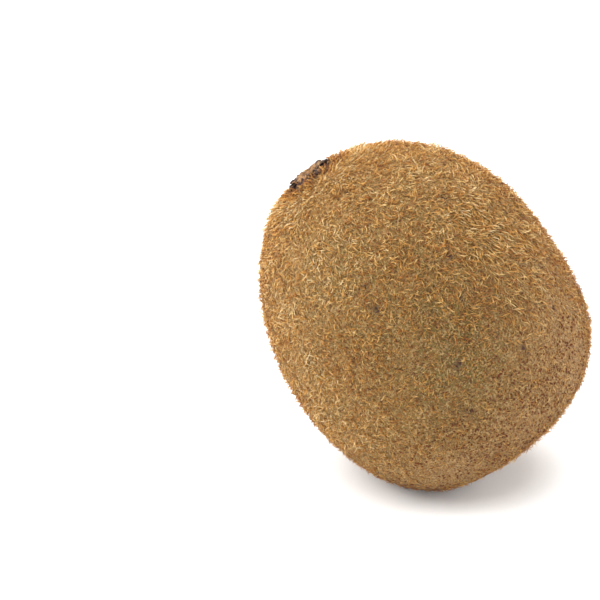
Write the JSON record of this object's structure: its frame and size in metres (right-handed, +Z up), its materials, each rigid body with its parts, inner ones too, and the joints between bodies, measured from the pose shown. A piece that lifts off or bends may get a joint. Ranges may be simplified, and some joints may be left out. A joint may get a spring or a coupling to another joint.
{
  "type": "kiwi fruit",
  "caption": "Whole hairy brown kiwi fruit, an egg-shaped berry standing tilted on a small flat spot, with dried sepals at its stem end and dried styles at its blossom end.",
  "frame": {"origin": "middle of the small flat spot that the fruit rests on", "axes": "+Z up from the surface it rests on; the fruit's long axis lies in the XZ plane, 52 degrees above the surface, with the stem end up towards -X and the blossom end down towards +X; Y is across the fruit"},
  "size_m": [0.0597, 0.0521, 0.062],
  "materials": {
    "hairy_skin": "dull olive-brown skin under a coat of short straw and orange-brown hair, with dark dried sepals and styles at the ends"
  },
  "bodies": {
    "root": {"kiwi_fruit": "hairy_skin"}
  },
  "joints": []
}
